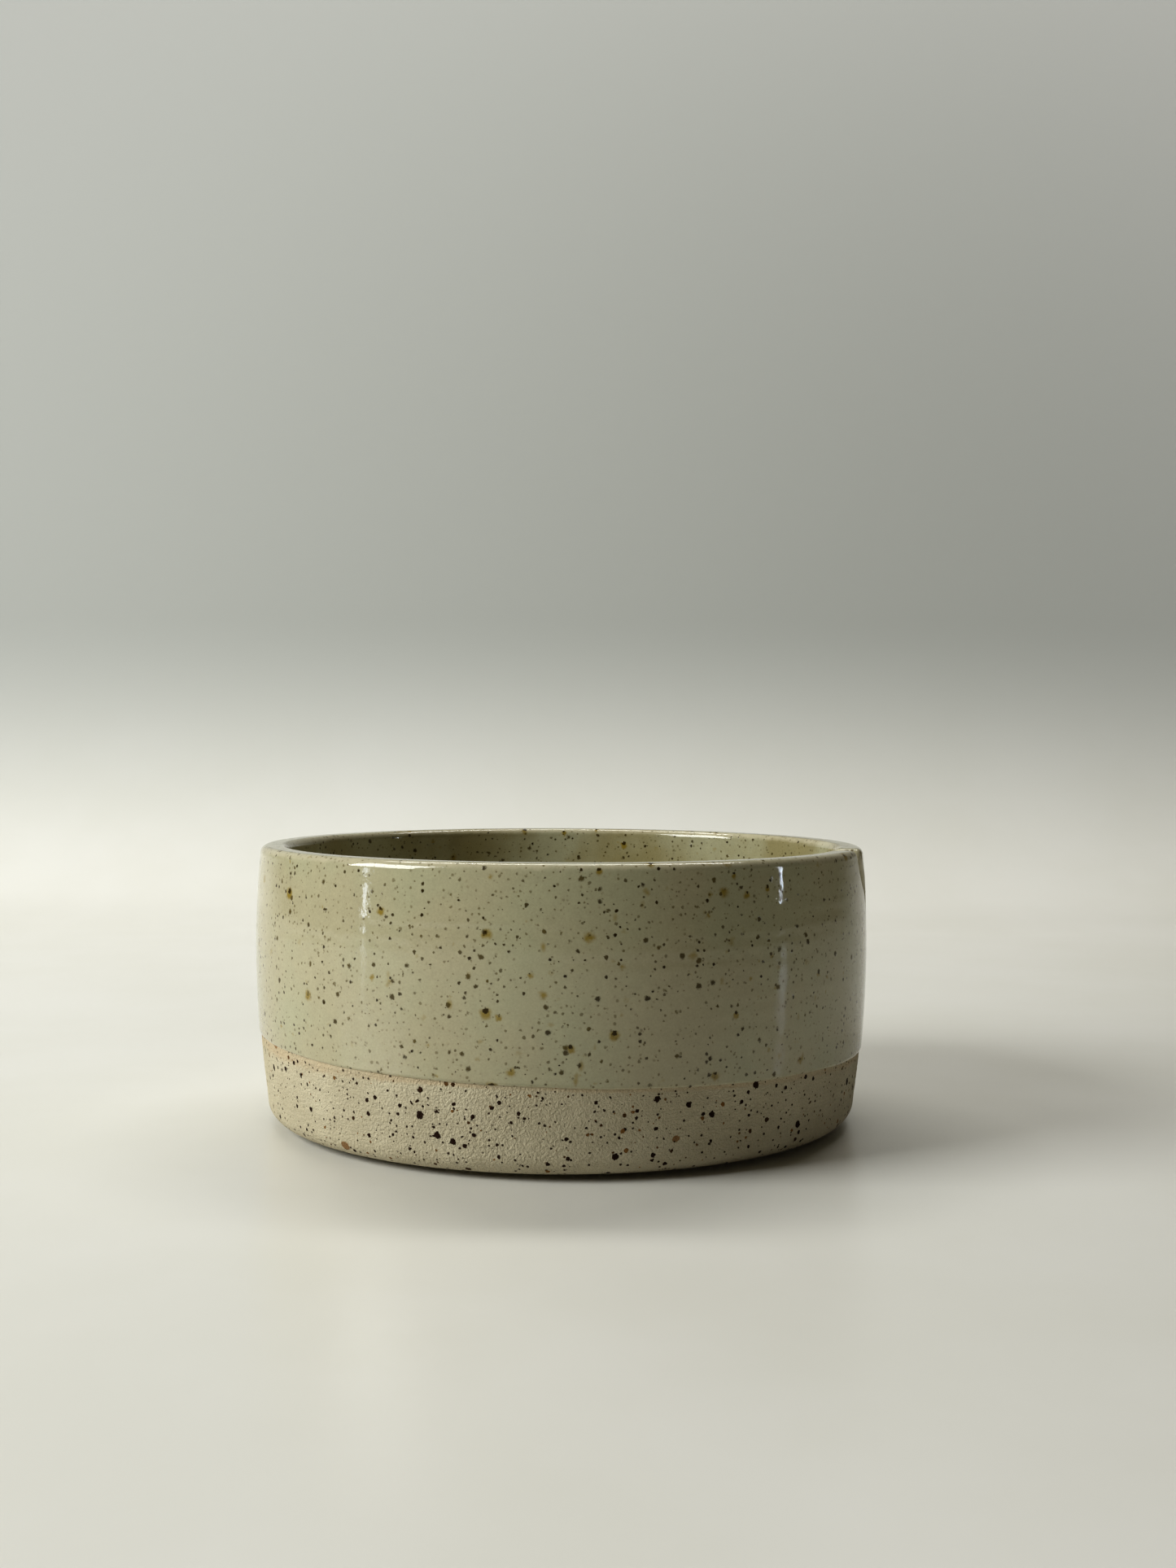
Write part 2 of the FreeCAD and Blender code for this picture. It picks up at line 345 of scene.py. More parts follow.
# ---------------------------------------------------------------- mesh bookkeeping
class Skin:
    """A mesh whose points are kept twice: on the glaze, and under it on the clay.

    A point is (angle, radius, height). Its u runs along the unrolled wall. Its depth is 0 on the outer
    face and 1 on the inner. Its thin is 1 where the glaze pulls back to its thinnest."""

    def __init__(self):
        self.u = []
        self.glaze = []
        self.clay = []
        self.depth = []
        self.thin = []
        self.faces = {}

    def point(self, u, glaze, clay, depth, thin=0.0):
        self.u.append(u)
        self.glaze.append(glaze)
        self.clay.append(clay)
        self.depth.append(depth)
        self.thin.append(thin)
        return len(self.u) - 1

    def face(self, group, corners, flipped=False):
        corners = tuple(reversed(corners)) if flipped else tuple(corners)
        self.faces.setdefault(group, []).append(corners)


def angle_at(u, radius):
    """Direction from +X of a point of the unrolled wall. Near the slot, u is the point's own Y."""
    if u <= PATCH_HALF:
        return math.asin(u / radius)
    edge = math.asin(PATCH_HALF / radius)
    return edge + (2 * math.pi - 2 * edge) * (u - PATCH_HALF) / (WRAP - 2 * PATCH_HALF)


def add_wall_point(mesh, u, z, inside):
    """A point of the wall's outer or inner face."""
    clay = clay_inside(z) if inside else clay_outside(z)
    glaze = clay - COAT if inside else clay + COAT
    return mesh.point(u, (angle_at(u, glaze), glaze, z), (angle_at(u, clay), clay, z), float(inside))


def band_profile():
    """Steps of the band across the wall's edge, as (kind, share)."""
    steps = [("outer_run", share) for share in (0, 0.4, 0.75)]
    steps += [("outer_bend", share) for share in np.linspace(0, 1, 8)]
    steps += [("flat", share) for share in (0.25, 0.5, 0.75)]
    steps += [("inner_bend", share) for share in np.linspace(1, 0, 8)]
    steps += [("inner_run", share) for share in (0.75, 0.4, 0)]
    return steps


BAND = band_profile()
BAND_OUTER_END = [kind for kind, _ in BAND].index("flat") - 1
BAND_MIDDLE = BAND_OUTER_END + 2
BAND_INNER_START = [kind for kind, _ in BAND].index("inner_bend")


def band_point(station, step, skin):
    """A point of the band as (u, radius, height); skin is COAT on the glaze and 0 on the clay."""
    y, z, normal_y, normal_z, lip, depth = station
    kind, share = step
    under = COAT - skin
    if kind.endswith("run"):
        inward, across = depth + (lip - depth) * share, under
    elif kind.endswith("bend"):
        turn = share * math.pi / 2
        inward, across = lip - (lip - under) * math.sin(turn), lip - (lip - under) * math.cos(turn)
    else:
        inward, across = under, lip
    u = y + normal_y * inward
    height = z + normal_z * inward
    outer = clay_outside(height) + COAT
    inner = clay_inside(height) - COAT
    if kind.startswith("outer"):
        radius = outer - across
    elif kind.startswith("inner"):
        radius = inner + across
    else:
        radius = (outer - across) + ((inner + across) - (outer - across)) * share
    return u, radius, height


def thinness(step):
    """How far the glaze has pulled back at a step of the band: most of all on the two bends."""
    kind, share = step
    if kind.endswith("run"):
        return 0.15 * share
    if kind.endswith("bend"):
        return 0.15 + 0.85 * math.sin(math.pi * share)
    return 0.6


def edge_stations():
    """All stations of the wall's edge, once round: the rim away from the slot, then the rest and the slot.

    Each is (y, z, normal y, normal z, lip rounding, band depth). Also gives how many are away from the
    slot, and the first and last that are on it."""
    slot = slot_stations()
    count = round((WRAP - 2 * PATCH_HALF) / COLUMN)
    far = [PATCH_HALF + (WRAP - 2 * PATCH_HALF) * i / count for i in range(count)]

    def near(start, end):
        steps = math.ceil((end - start) / COLUMN)
        return [start + (end - start) * i / steps for i in range(steps)]

    stations = [(u, HEIGHT, 0.0, -1.0, LIP_ROUND, BAND_RIM) for u in far]
    for u in near(-PATCH_HALF, slot[0][0]):
        closeness = float(smooth(BLEND, 0, slot[0][0] - u))
        stations.append((u, HEIGHT, 0.0, -1.0, *rim_to_slot(closeness)))
    first = len(stations)
    stations += [(*s, SLOT_LIP, BAND_SLOT) for s in slot]
    last = len(stations) - 1
    for u in near(slot[-1][0], PATCH_HALF)[1:]:
        closeness = float(smooth(BLEND, 0, u - slot[-1][0]))
        stations.append((u, HEIGHT, 0.0, -1.0, *rim_to_slot(closeness)))
    return stations, count, (first, last)


def rim_to_slot(closeness):
    """Lip rounding and band depth on the rim, going over to the slot's as the closeness rises."""
    lip = LIP_ROUND + (SLOT_LIP - LIP_ROUND) * closeness
    depth = BAND_RIM + (BAND_SLOT - BAND_RIM) * closeness
    return lip, depth


# ---------------------------------------------------------------- upper wall, shared by clay and glaze
def add_band(mesh, stations, slot_range):
    """The band of mesh round the rim and the slot's edge. Gives each station's row of points."""
    rows = []
    for station in stations:
        row = []
        for j, step in enumerate(BAND):
            u, radius, height = band_point(station, step, COAT)
            clay_u, clay_radius, clay_height = band_point(station, step, 0.0)
            glaze = (angle_at(u, radius), radius, height)
            clay = (angle_at(clay_u, clay_radius), clay_radius, clay_height)
            row.append(mesh.point(u, glaze, clay, j / (len(BAND) - 1), thinness(step)))
        rows.append(row)
    for k, here in enumerate(rows):
        there = rows[(k + 1) % len(rows)]
        on_slot = slot_range[0] <= k < slot_range[1]
        for j in range(len(BAND) - 1):
            if on_slot and BAND_OUTER_END <= j < BAND_INNER_START:
                group = "slot"
            else:
                group = "outer" if j < BAND_MIDDLE else "liner"
            mesh.face(group, (here[j], there[j], there[j + 1], here[j + 1]))
    return rows


def inside_outline(points, outline):
    """Which points lie inside a closed outline."""
    inside = np.zeros(len(points), bool)
    x, y = points[:, 0], points[:, 1]
    for (ax, ay), (bx, by) in zip(outline, np.roll(outline, -1, axis=0)):
        if ay == by:
            continue
        crosses = (ay > y) != (by > y)
        inside ^= crosses & (x < (bx - ax) * (y - ay) / (by - ay) + ax)
    return inside


def patch_fill(outline):
    """Points inside the outline in staggered rows, clear of it, and the triangles that join them all."""
    outline = np.array(outline)
    low, high = outline.min(0), outline.max(0)
    filling = []
    row_height = PATCH_STEP * math.sqrt(0.75)
    for r in range(1, int((high[1] - low[1]) / row_height) + 1):
        start = low[0] + (PATCH_STEP / 2 if r % 2 else 0)
        filling += [(x, low[1] + r * row_height) for x in np.arange(start, high[0], PATCH_STEP)]
    filling = np.array(filling)
    filling = filling[inside_outline(filling, outline)]
    gaps = np.linalg.norm(filling[:, None, :] - outline[None, :, :], axis=2).min(1)
    filling = filling[gaps > 0.55 * PATCH_STEP]
    points = np.vstack([outline, filling])
    loop = list(range(len(outline)))
    edges = [(i, (i + 1) % len(outline)) for i in loop]
    result = delaunay_2d_cdt([Vector(p) for p in points], edges, [loop], 1, 1e-7)
    vertices, _, triangles, origins = result[:4]
    if len(vertices) != len(points):
        raise RuntimeError("the patch round the slot gained points")
    back = [origin[0] for origin in origins]
    return filling, [[back[i] for i in triangle] for triangle in triangles]


def add_upper_wall(mesh):
    """Band, patch round the slot, and the rows of wall down to the patch's bottom, on both faces.

    Gives each face's lowest ring of points."""
    stations, far_count, slot_range = edge_stations()
    band_rows = add_band(mesh, stations, slot_range)
    row_count = round((HEIGHT - BAND_RIM - PATCH_BOTTOM) / ROW)
    heights = np.linspace(HEIGHT - BAND_RIM, PATCH_BOTTOM, row_count + 1)[1:]
    far_u = [station[0] for station in stations[:far_count]] + [-PATCH_HALF]
    near_count = round(2 * PATCH_HALF / COLUMN)
    near_u = [-PATCH_HALF + 2 * PATCH_HALF * i / near_count for i in range(1, near_count)]
    rings = {}
    for inside in (False, True):
        group = "liner" if inside else "outer"
        end = -1 if inside else 0
        grid = [[band_rows[k][end] for k in range(far_count + 1)]]
        for z in heights:
            grid.append([add_wall_point(mesh, u, z, inside) for u in far_u])
        for upper, lower in zip(grid, grid[1:]):
            for i in range(far_count):
                mesh.face(group, (upper[i], lower[i], lower[i + 1], upper[i + 1]), inside)
        below = [add_wall_point(mesh, u, PATCH_BOTTOM, inside) for u in near_u]
        left = [row[far_count] for row in grid]
        right = [row[0] for row in grid]
        top = [row[end] for row in band_rows[far_count + 1:]]
        loop = left + below + right[::-1] + top[::-1]
        filling, triangles = patch_fill([(mesh.u[i], mesh.glaze[i][2]) for i in loop])
        indices = loop + [add_wall_point(mesh, u, z, inside) for u, z in filling]
        for triangle in triangles:
            mesh.face(group, [indices[i] for i in triangle], inside)
        rings[group] = grid[-1] + below
    return rings


def add_rows(mesh, group, ring, rows, flipped):
    """Joins a closed ring of points to further rings below it, and gives the last one."""
    for row in rows:
        for i in range(len(ring)):
            j = (i + 1) % len(ring)
            mesh.face(group, (ring[i], row[i], row[j], ring[j]), flipped)
        ring = row
    return ring


def ring_row(mesh, ring, glaze, clay, depth):
    """A ring of points in the same directions as another, at a (radius, height) for each skin."""
    return [
        mesh.point(mesh.u[i], (mesh.glaze[i][0], *glaze), (mesh.clay[i][0], *clay), depth)
        for i in ring
    ]


def close_middle(mesh, group, ring, glaze_height, clay_height, depth, flipped):
    """Closes a small ring with a fan about the bowl's axis."""
    centre = mesh.point(0.0, (0.0, 0.0, glaze_height), (0.0, 0.0, clay_height), depth)
    for i in range(len(ring)):
        mesh.face(group, (ring[i], centre, ring[(i + 1) % len(ring)]), flipped)


def inside_path(skin):
    """(radius, height) down the inner wall from the patch's bottom, round the corner, over the floor."""
    path = [(clay_inside(z) - skin, z) for z in np.arange(PATCH_BOTTOM, INNER_LOW[0], -ROW)[1:]]
    path += arc_points(flip(INNER_LOW), flip(INNER_CORNER), flip(FLOOR_EDGE), -skin, 30)
    for radius in np.linspace(FLOOR_EDGE[1], 0, 60)[1:-1]:
        dish = (FLOOR_EDGE[0] - FLOOR_MIDDLE) * radius / FLOOR_EDGE[1]
        path.append((radius, FLOOR_MIDDLE + dish + skin))
    return path


def add_inside(mesh, ring):
    """The inner wall below the patch, the rounded corner and the floor."""
    places = zip(inside_path(COAT), inside_path(0.0))
    rows = [ring_row(mesh, ring, glaze, clay, 1.0) for glaze, clay in places]
    last = add_rows(mesh, "liner", ring, rows, True)
    close_middle(mesh, "liner", last, FLOOR_MIDDLE + COAT, FLOOR_MIDDLE, 1.0, True)


def add_dipped_wall(mesh, ring):
    """The outside coat from the patch down to the leaning dip line, where it thins out."""
    count = round((PATCH_BOTTOM - DIP_HEIGHT) / ROW)
    shares = list(np.linspace(0, 0.93, count + 1)[1:]) + [0.95, 0.965, 0.98, 0.99, 0.997, 1.0]
    lines = dip_line(np.array([mesh.glaze[i][0] for i in ring]))
    rows = []
    for share in shares:
        row = []
        for i, line in zip(ring, lines):
            z = PATCH_BOTTOM + (line - PATCH_BOTTOM) * share
            thinned = 1 - min(1.0, (z - line) / GLAZE_EDGE)
            skin = COAT * math.sqrt(1 - thinned ** 2) + EDGE_SKIN
            theta = mesh.glaze[i][0]
            radius = clay_outside(z)
            thin = float(smooth(0.94, 1.0, share))
            row.append(mesh.point(mesh.u[i], (theta, radius + skin, z), (theta, radius, z), 0.0, thin))
        rows.append(row)
    add_rows(mesh, "outer", ring, rows, False)


def base_path():
    """(radius, height) from the patch's bottom down the bare cone, under the base and in to the axis."""
    step = 0.45
    wall = [(clay_outside(z), z) for z in np.arange(PATCH_BOTTOM, CORNER[0], -step)[1:]]
    roll = arc_points(flip(CORNER), flip(ROLL), flip(UNDER), 0.0, 14)
    foot_inner = FOOT_OUTER - FOOT_WIDTH
    under = [
        flip(UNDER),
        (FOOT_OUTER + FOOT_SLOPE, UNDER[0]),
        (FOOT_OUTER, 0.0),
        (foot_inner, 0.0),
        (foot_inner - FOOT_SLOPE, RECESS_DEPTH),
        (0.6, RECESS_DEPTH),
    ]
    return wall + roll + filled_in(rounded_corners(under, 0.45, 4), 1.1)[1:]


def add_base(mesh, ring):
    """The bare clay from the patch's bottom down and under."""
    rows = [ring_row(mesh, ring, point, point, 0.0) for point in base_path()]
    last = add_rows(mesh, "base", ring, rows, False)
    close_middle(mesh, "base", last, RECESS_DEPTH, RECESS_DEPTH, 0.0, False)


# ---------------------------------------------------------------- from unrolled wall to space
def placed(mesh, skin):
    """The points of one skin in space, in millimetres. Both skins shift alike, by the glaze's place."""
    own = np.array(mesh.glaze if skin == "glaze" else mesh.clay)
    lead = np.array(mesh.glaze)
    depth = np.array(mesh.depth)
    theta, radius, z = lead.T
    on_wall = smooth(3.0, 9.0, z) * smooth(44, 62, radius)
    shift = (1 - depth) * outside_shift(theta, z) + depth * inside_shift(theta, z)
    on_floor = depth * smooth(62, 50, radius) * smooth(0, 5, radius)
    spiral = radius / SPIRAL_PITCH + theta / (2 * math.pi)
    swirl = SPIRAL_DEPTH * np.sin(2 * math.pi * spiral)
    new_radius = own[:, 1] + shift * on_wall
    new_height = own[:, 2] + rim_drop(theta, z) + on_floor * swirl
    return np.stack([new_radius * np.cos(own[:, 0]), new_radius * np.sin(own[:, 0]), new_height], 1)


def point_normals(points, faces):
    """Area-weighted normals of the points that the faces use."""
    normals = np.zeros_like(points)
    for size in (3, 4):
        group = np.array([face for face in faces if len(face) == size])
        if not len(group):
            continue
        corners = [points[group[:, corner]] for corner in range(size)]
        across = corners[2] - corners[0]
        if size == 3:
            area = np.cross(corners[1] - corners[0], across)
        else:
            area = np.cross(across, corners[3] - corners[1])
        for corner in range(size):
            np.add.at(normals, group[:, corner], area)
    lengths = np.linalg.norm(normals, axis=1, keepdims=True)
    return normals / np.where(lengths > 0, lengths, 1)


def make_piece(name, points, faces, measure, loop_normals=None):
    """A smooth-shaded mesh object, from points in millimetres.

    measure is the name of an attribute, and its value at each point."""
    data = bpy.data.meshes.new(name)
    data.from_pydata((points * MM).tolist(), [], faces)
    data.update()
    data.polygons.foreach_set("use_smooth", np.ones(len(data.polygons), bool))
    if loop_normals is not None:
        data.normals_split_custom_set(loop_normals)
    data.attributes.new(measure[0], "FLOAT", "POINT").data.foreach_set("value", measure[1])
    piece = bpy.data.objects.new(name, data)
    bpy.context.scene.collection.objects.link(piece)
    return piece


def make_coat(name, mesh, group, glaze, clay, normals):
    """One coat of glaze as a closed shell: its glossy face, its back, and the edge between them."""
    faces = mesh.faces[group]
    used = sorted({i for face in faces for i in face})
    place = {old: new for new, old in enumerate(used)}
    count = len(used)
    front = [tuple(place[i] for i in face) for face in faces]
    back = [tuple(place[i] + count for i in reversed(face)) for face in faces]
    edges = {edge: True for face in front for edge in zip(face, face[1:] + face[:1])}
    border = [(a, b) for a, b in edges if (b, a) not in edges]
    sides = [(b, a, a + count, b + count) for a, b in border]
    points = np.vstack([glaze[used], clay[used]])
    own = normals[used]
    loop_normals = [own[i] for face in front for i in face]
    loop_normals += [-own[i - count] for face in back for i in face]
    for a, b, c, d in sides:
        flat = np.cross(points[b] - points[a], points[d] - points[a])
        flat = flat / max(np.linalg.norm(flat), 1e-9)
        loop_normals += [flat] * 4
    thin = np.tile(np.array(mesh.thin)[used], 2)
    return make_piece(name, points, front + back + sides, ("thin", thin), loop_normals)


def build_clay():
    """The clay of the whole bowl, which carries how far below the dip line each point is."""
    mesh = Skin()
    rings = add_upper_wall(mesh)
    add_base(mesh, rings["outer"])
    add_inside(mesh, rings["liner"])
    faces = [face for group in mesh.faces.values() for face in group]
    theta, _, height = np.array(mesh.clay).T
    below = (dip_line(theta) - height) / toasted_width(theta)
    return make_piece("bare_clay", placed(mesh, "clay"), faces, ("below_line", below))


def build_coats():
    """The three coats of glaze, under the names of their groups."""
    mesh = Skin()
    rings = add_upper_wall(mesh)
    add_dipped_wall(mesh, rings["outer"])
    add_inside(mesh, rings["liner"])
    glaze, clay = placed(mesh, "glaze"), placed(mesh, "clay")
    normals = point_normals(glaze, [face for group in mesh.faces.values() for face in group])
    return {
        group: make_coat(group + "_coat", mesh, group, glaze, clay, normals)
        for group in ("outer", "liner", "slot")
    }


# ---------------------------------------------------------------- node helpers
def add(tree, kind, inputs, **settings):
    """Adds a shader node. An input is a value, or another node's output."""
    node = tree.nodes.new("ShaderNode" + kind)
    for name, value in settings.items():
        setattr(node, name, value)
    for name, value in inputs.items():
        if isinstance(value, bpy.types.NodeSocket):
            tree.links.new(value, node.inputs[name])
        else:
            node.inputs[name].default_value = value
    return node


def maths(tree, operation, a, b=0.0, c=0.0):
    return add(tree, "Math", {0: a, 1: b, 2: c}, operation=operation).outputs[0]


def times(tree, value, factor):
    return maths(tree, "MULTIPLY", value, factor)


def fade(tree, value, start, end, low=0.0, high=1.0):
    """Runs smoothly from low, where the value is at start, to high, where it is at end."""
    inputs = {"Value": value, "From Min": start, "From Max": end, "To Min": low, "To Max": high}
    return add(tree, "MapRange", inputs, interpolation_type="SMOOTHSTEP").outputs[0]


def mixed(tree, share, a, b):
    """Colour a, going over to colour b as the share rises."""
    node = add(tree, "Mix", {0: share}, data_type="RGBA")
    for socket, colour in ((node.inputs[6], a), (node.inputs[7], b)):
        if isinstance(colour, bpy.types.NodeSocket):
            tree.links.new(colour, socket)
        else:
            socket.default_value = (*colour, 1.0)
    return node.outputs[2]


def noise(tree, place, size, detail=2.0, roughness=0.5):
    """Noise about 0.5, with features of a size in millimetres."""
    inputs = {"Vector": place, "Scale": 1 / size, "Detail": detail, "Roughness": roughness}
    return add(tree, "TexNoise", inputs)


def place_in_mm(tree, stretch=(1, 1, 1), shift=(0, 0, 0)):
    """Coordinates on the object in millimetres, stretched and shifted."""
    source = add(tree, "TexCoord", {}).outputs["Object"]
    scale = tuple(1 / (MM * s) for s in stretch)
    return add(tree, "Mapping", {"Vector": source, "Scale": scale, "Location": shift}).outputs[0]


def roughened(tree, place, size, reach):
    """Coordinates pushed about by noise, so that what is drawn with them gets an uneven outline."""
    uneven = noise(tree, place, size).outputs["Color"]
    push = add(tree, "VectorMath", {0: uneven, 1: (0.5, 0.5, 0.5)}, operation="SUBTRACT").outputs[0]
    push = add(tree, "VectorMath", {0: push, "Scale": 2 * reach}, operation="SCALE").outputs[0]
    return add(tree, "VectorMath", {0: place, 1: push}, operation="ADD").outputs[0]


def ragged_place(tree, shift, size, reach):
    """Shifted coordinates with an uneven push, so that each layer of specks falls elsewhere."""
    return roughened(tree, place_in_mm(tree, (1, 1, 1), (shift, 2 * shift, 3 * shift)), size, reach)


def specks(tree, place, cell, radius, chance, soft):
    """Scattered specks, at most one in each cell. Gives their mask, and a random number for each."""
    field = add(tree, "TexVoronoi", {"Vector": place, "Scale": 1 / cell, "Randomness": 1.0})
    dice = add(tree, "SeparateColor", {"Color": field.outputs["Color"]})
    distance = times(tree, field.outputs["Distance"], cell)
    edge = maths(tree, "MULTIPLY_ADD", dice.outputs[0], 0.55 * radius, 0.45 * radius)
    inner = times(tree, edge, 1 - soft)
    there = maths(tree, "LESS_THAN", dice.outputs[1], chance)
    return times(tree, fade(tree, distance, edge, inner), there), dice.outputs[2]


def bumps(tree, height):
    """Relief from a height in millimetres."""
    return add(tree, "Bump", {"Height": height, "Distance": MM, "Strength": 1.0}).outputs[0]


def new_material(name):
    material = bpy.data.materials.new(name)
    material.use_nodes = True
    tree = material.node_tree
    tree.nodes.clear()
    surface = add(tree, "BsdfPrincipled", {})
    add(tree, "OutputMaterial", {"Surface": surface.outputs[0]})
    return material, tree, surface


def total(tree, values):
    """The sum of several values."""
    result = values[0]
    for value in values[1:]:
        result = maths(tree, "ADD", result, value)
    return result


def weighed(tree, value, weight):
    """How far a noise is from its middle, times a weight."""
    return times(tree, maths(tree, "SUBTRACT", value, 0.5), weight)


def lightened(tree, colour, parts):
    """The colour made lighter and darker by the sum of several noises, each (noise, weight)."""
    change = total(tree, [weighed(tree, value, weight) for value, weight in parts])
    light = maths(tree, "ADD", change, 1.0)
    return add(tree, "HueSaturation", {"Color": colour, "Value": light}).outputs[0]


def finish_surface(tree, surface, settings):
    """Sets the surface's inputs, each to a value or to another node's output."""
    for name, value in settings.items():
        if isinstance(value, bpy.types.NodeSocket):
            tree.links.new(value, surface.inputs[name])
        else:
            surface.inputs[name].default_value = value


# ---------------------------------------------------------------- materials
GLAZE_COLOUR = (0.418, 0.380, 0.250)
GLAZE_GREEN = (0.392, 0.376, 0.248)
# The liner's colour is painted darker and warmer than the outside glaze: painted shade for the inside of
# the bowl
GLAZE_INSIDE_SHADED = (0.300, 0.262, 0.134)
GLAZE_THIN = (0.540, 0.485, 0.350)
IRON_BLACK = (0.026, 0.015, 0.003)
IRON_OLIVE = (0.095, 0.066, 0.012)
OCHRE = (0.245, 0.168, 0.014)
CLAY_COLOUR = (0.508, 0.452, 0.320)
CLAY_PALE = (0.548, 0.494, 0.358)
CLAY_TOASTED = (0.510, 0.400, 0.255)
CLAY_SPECK = (0.024, 0.011, 0.006)
CLAY_RUST = (0.230, 0.115, 0.035)
ROOM_DIM = (0.050, 0.043, 0.028)
ROOM_PALE = (0.460, 0.460, 0.430)
STONE = (0.73, 0.72, 0.67)
STONE_PALE = (0.76, 0.75, 0.71)
WALL_GREY = (0.44, 0.45, 0.43)

# Spacing of the largest specks, and the shifts of the patterns that bleed from them, in millimetres
CORE_CELL = 7.0
HALO_SHIFT = (0, 0, 0.55)
STAIN_SHIFT = (7, 5, 3.4)
RUN_SHIFT = (9, 0, 0)


def glaze_tint(tree, main_colour, thin, cloud, mottle, grain):
    """Colour of the glaze itself: cloudy, and paler where it is thin."""
    colour = mixed(tree, fade(tree, cloud, 0.36, 0.66), main_colour, GLAZE_GREEN)
    ragged_thin = maths(tree, "ADD", thin, weighed(tree, mottle, 0.9))
    colour = mixed(tree, fade(tree, ragged_thin, 0.3, 1.1, 0.0, 0.55), colour, GLAZE_THIN)
    return lightened(tree, colour, [(mottle, 0.16), (grain, 0.26), (cloud, 0.16)])


def ochre_stains(tree, colour, rich, runs):
    """Ochre that the iron bleeds into the glaze: halos of the largest specks, faint stains, and runs."""
    bled = roughened(tree, place_in_mm(tree, (1, 1, 1), HALO_SHIFT), 1.1, 0.55)
    halo, _ = specks(tree, bled, CORE_CELL, 1.9, rich, 0.6)
    colour = mixed(tree, times(tree, halo, 0.9), colour, OCHRE)
    weak = roughened(tree, place_in_mm(tree, (1, 1, 1), STAIN_SHIFT), 0.9, 0.6)
    stain, dice = specks(tree, weak, 4.6, 1.0, rich, 0.8)
    colour = mixed(tree, times(tree, stain, fade(tree, dice, 0, 1, 0.3, 0.8)), colour, OCHRE)
    drawn = roughened(tree, place_in_mm(tree, (1, 1, runs), RUN_SHIFT), 1.2, 0.3)
    run, _ = specks(tree, drawn, CORE_CELL, 0.9, rich, 0.9)
    return mixed(tree, times(tree, run, 0.7), colour, OCHRE)


def iron_specks(tree, place, colour, rich):
    """Faint sunk specks, then iron specks of three sizes. Gives the colour, and how pitted it is."""
    sunk, dice = specks(tree, ragged_place(tree, 31, 0.6, 0.24), 1.25, 0.44, 0.9, 0.6)
    colour = mixed(tree, times(tree, sunk, fade(tree, dice, 0, 1, 0.2, 0.75)), colour, IRON_OLIVE)
    fine, dice = specks(tree, ragged_place(tree, 17, 0.6, 0.28), 1.7, 0.54, 0.8, 0.5)
    fine_colour = mixed(tree, dice, IRON_OLIVE, IRON_BLACK)
    colour = mixed(tree, times(tree, fine, fade(tree, dice, 0, 1, 0.55, 1.0)), colour, fine_colour)
    middle, dice = specks(tree, ragged_place(tree, 5, 0.6, 0.42), 3.4, 0.88, 0.75, 0.5)
    middle_colour = mixed(tree, dice, IRON_OLIVE, IRON_BLACK)
    colour = mixed(tree, times(tree, middle, 0.9), colour, middle_colour)
    core, _ = specks(tree, roughened(tree, place, 0.65, 0.5), CORE_CELL, 0.95, rich, 0.35)
    colour = mixed(tree, times(tree, core, 0.93), colour, IRON_BLACK)
    return colour, total(tree, [middle, core, times(tree, fine, 0.5)])


def glaze_material(name, main_colour, runs):
    """Glossy glaze over speckled clay. The iron specks bleed into it, and runs draws them down."""
    material, tree, surface = new_material(name)
    place = place_in_mm(tree)
    cloud = noise(tree, place, 22.0, 3.0).outputs["Fac"]
    mottle = noise(tree, place, 2.6, 4.0, 0.6).outputs["Fac"]
    grain = noise(tree, place, 0.45, 2.0).outputs["Fac"]
    peel = noise(tree, place, 3.2, 2.0, 0.45).outputs["Fac"]
    thin = add(tree, "Attribute", {}, attribute_name="thin").outputs["Fac"]
    colour = glaze_tint(tree, main_colour, thin, cloud, mottle, grain)
    # Iron gathers in some parts of the wall more than in others
    rich = fade(tree, noise(tree, place, 30.0, 1.0).outputs["Fac"], 0.35, 0.62, 0.42, 0.95)
    colour = ochre_stains(tree, colour, rich, runs)
    colour, pits = iron_specks(tree, place, colour, rich)
    height = total(tree, [
        weighed(tree, peel, 0.045),
        weighed(tree, mottle, 0.016),
        weighed(tree, grain, 0.006),
        times(tree, pits, 0.03),
    ])
    gloss = total(tree, [times(tree, mottle, 0.03), times(tree, pits, 0.05), times(tree, thin, 0.05)])
    finish_surface(tree, surface, {
        "Base Color": colour,
        "Roughness": maths(tree, "ADD", gloss, 0.02),
        "IOR": 1.52,
        "Specular IOR Level": maths(tree, "SUBTRACT", 0.5, times(tree, pits, 0.35)),
        "Normal": bumps(tree, height),
    })
    return material


